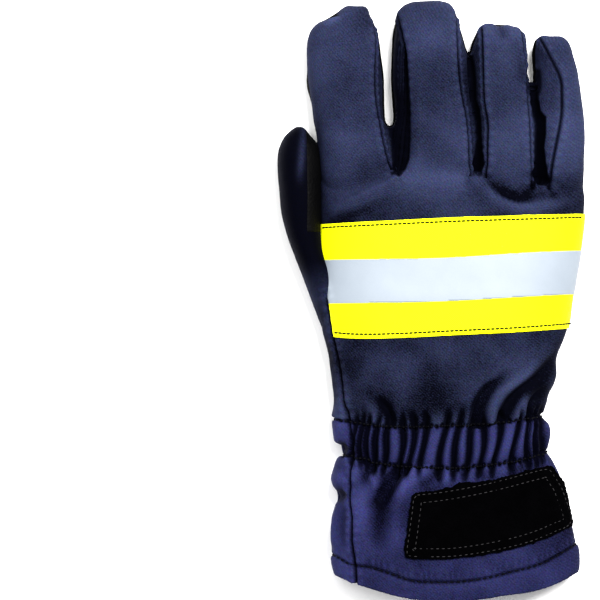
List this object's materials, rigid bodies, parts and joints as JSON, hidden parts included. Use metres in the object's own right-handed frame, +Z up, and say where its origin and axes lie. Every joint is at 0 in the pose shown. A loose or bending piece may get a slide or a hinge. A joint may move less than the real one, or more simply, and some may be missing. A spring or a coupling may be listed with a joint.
{
  "type": "firefighter glove",
  "caption": "Right-hand firefighter glove lying palm down: navy cloth back, black leather palm, yellow and silver reflective trim, gathered elastic wrist, flared cuff with a loop patch",
  "frame": {"origin": "middle of the palm's flat underside, on the surface that the glove lies on", "axes": "+Y from the cuff to the fingertips, +X towards the little finger, +Z up out of the back of the hand"},
  "size_m": [0.1359, 0.2637, 0.0383],
  "materials": {
    "cloth": "navy twill, fine diagonal weave, slight sheen",
    "gathered_cloth": "navy twill gathered over elastic",
    "leather": "black grain leather, soft",
    "yellow_trim": "fluorescent yellow woven tape, matte",
    "silver_trim": "silver glass-bead reflective band",
    "loop_pile": "black brushed loop pile, fuzzy"
  },
  "bodies": {
    "root": {"back_panel": "cloth", "palm_panel": "leather", "forchette_index_middle": "cloth", "forchette_middle_ring": "cloth", "forchette_ring_little": "cloth", "thumb_back": "cloth", "thumb_palm": "leather", "side_panel": "cloth", "elastic_back": "gathered_cloth", "elastic_palm": "gathered_cloth", "cuff_back": "cloth", "cuff_palm": "cloth", "trim_yellow": "yellow_trim", "trim_silver": "silver_trim", "loop_patch": "loop_pile"}
  },
  "joints": []
}
